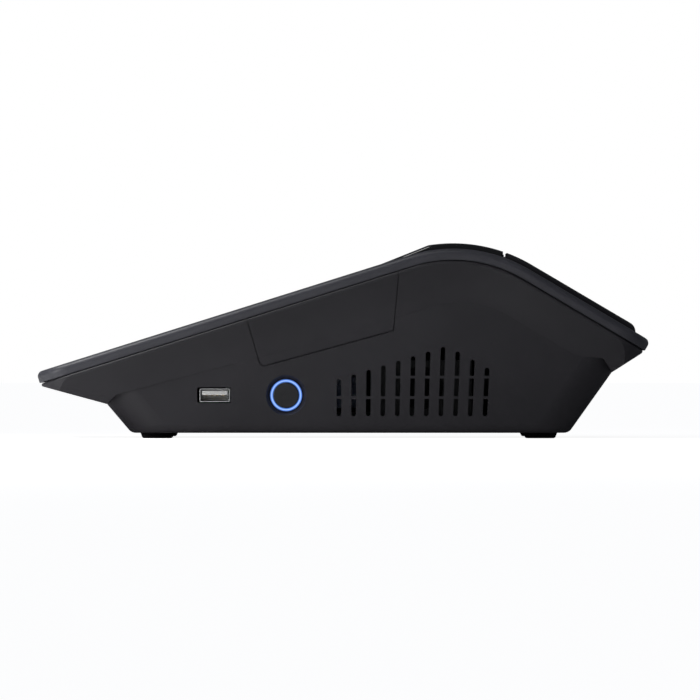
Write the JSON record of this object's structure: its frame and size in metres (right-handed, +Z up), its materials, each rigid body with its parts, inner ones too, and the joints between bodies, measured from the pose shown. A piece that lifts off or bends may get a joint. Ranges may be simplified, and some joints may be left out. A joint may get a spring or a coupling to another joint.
{
  "type": "pos touchscreen terminal",
  "caption": "Wedge-shaped countertop sales terminal: sloped touch display, customer display, and a receipt printer with hinged paper lid under a rounded ridge.",
  "frame": {"origin": "on the table plane under the middle of the case (centre of the bounding box's underside)", "axes": "+X towards the operator's right, -Y towards the operator (low front edge), +Z up"},
  "size_m": [0.272, 0.266, 0.085],
  "materials": {
    "case_plastic": "fine textured dark grey ABS",
    "piano_black": "high gloss black",
    "button_black": "satin black",
    "inner_plastic": "black moulded plastic",
    "rubber": "matt black",
    "screw_steel": "zinc plated",
    "steel": "ground steel",
    "sheet_steel": "zinc plated sheet",
    "socket_steel": "nickel plated",
    "contact_brass": "gold plated",
    "tongue_white": "moulded white",
    "screen_glass": "clear with black border",
    "lcd_black": "black",
    "smoked_window": "smoked acrylic",
    "display_glass": "dark display glass",
    "board_green": "green solder mask",
    "aluminium": "extruded",
    "gear_white": "natural acetal",
    "head_ceramic": "glazed ceramic",
    "paper": "thermal paper",
    "cardboard": "plain",
    "led_blue": "lit light guide"
  },
  "bodies": {
    "case": {"lower_housing": "case_plastic", "upper_housing": "case_plastic", "side_access_cover": "case_plastic", "rubber_feet": "rubber", "housing_screws": "screw_steel", "board_screws": "screw_steel", "frame_screws": "screw_steel", "panel_screws": "screw_steel", "touch_glass": "screen_glass", "lcd_module": "lcd_black", "display_frame": "sheet_steel", "customer_window": "smoked_window", "customer_display": "display_glass", "customer_board": "board_green", "crown_cover": "piano_black", "tear_bar": "steel", "lid_hinge_pin": "steel", "release_spring": "steel", "release_guide": "inner_plastic", "idler_pin": "steel", "stepper_motor": "sheet_steel", "printer_frame": "sheet_steel", "print_head": "head_ceramic", "head_heatsink": "aluminium", "head_springs": "steel", "paper_bucket": "inner_plastic", "main_board": "board_green", "heat_sink": "aluminium", "memory_module": "board_green", "memory_socket": "inner_plastic", "coin_cell": "steel", "cell_holder": "inner_plastic", "dc_jack": "inner_plastic", "lan_jack": "socket_steel", "drawer_jack": "inner_plastic", "usb_stack": "socket_steel", "side_board": "board_green", "usb_shell": "socket_steel", "usb_tongue": "tongue_white", "usb_contacts": "contact_brass", "power_switch": "inner_plastic", "led_ring": "led_blue", "speaker_frame": "inner_plastic", "speaker_cone": "lcd_black"},
    "lid": {"printer_lid": "case_plastic", "platen_bushes": "gear_white"},
    "platen": {"platen_shaft": "steel", "platen_roller": "rubber", "platen_gear": "gear_white"},
    "idler": {"idler_gear": "gear_white"},
    "motor": {"motor_shaft": "steel", "motor_pinion": "gear_white"},
    "roll": {"paper_roll": "paper", "roll_core": "cardboard"},
    "power_cap": {"power_button": "button_black"},
    "release_cap": {"release_button": "case_plastic"}
  },
  "joints": [
    {"name": "lid_open", "type": "hinge", "parent": "case", "child": "lid", "pos_m": [0.07, 0.12281, 0.04639], "axis": [-1, 0, 0], "range_deg": [0, 84]},
    {"name": "platen_spin", "type": "hinge", "parent": "lid", "child": "platen", "pos_m": [0.07, 0.07469, 0.07211], "axis": [1, 0, 0], "continuous": true},
    {"name": "idler_spin", "type": "hinge", "parent": "case", "child": "idler", "pos_m": [0.116, 0.06715, 0.05799], "axis": [1, 0, 0], "continuous": true},
    {"name": "motor_spin", "type": "hinge", "parent": "case", "child": "motor", "pos_m": [0.11, 0.05217, 0.05721], "axis": [1, 0, 0], "continuous": true},
    {"name": "roll_spin", "type": "hinge", "parent": "case", "child": "roll", "pos_m": [0.07, 0.08269, 0.0298], "axis": [1, 0, 0], "continuous": true},
    {"name": "power_press", "type": "slide", "parent": "case", "child": "power_cap", "axis": [-1, 0, 0], "range_m": [0, 0.001], "stiffness_N_per_m": 1200, "springref_m": -0.0003},
    {"name": "release_press", "type": "slide", "parent": "case", "child": "release_cap", "axis": [0, -0.5075, -0.8616], "range_m": [0, 0.003], "stiffness_N_per_m": 600, "springref_m": -0.001, "deforming": ["release_spring"]}
  ],
  "couplings": [
    {"joint": "idler_spin", "follows": "platen_spin", "ratio": -0.33333},
    {"joint": "motor_spin", "follows": "platen_spin", "ratio": 1.3333}
  ]
}
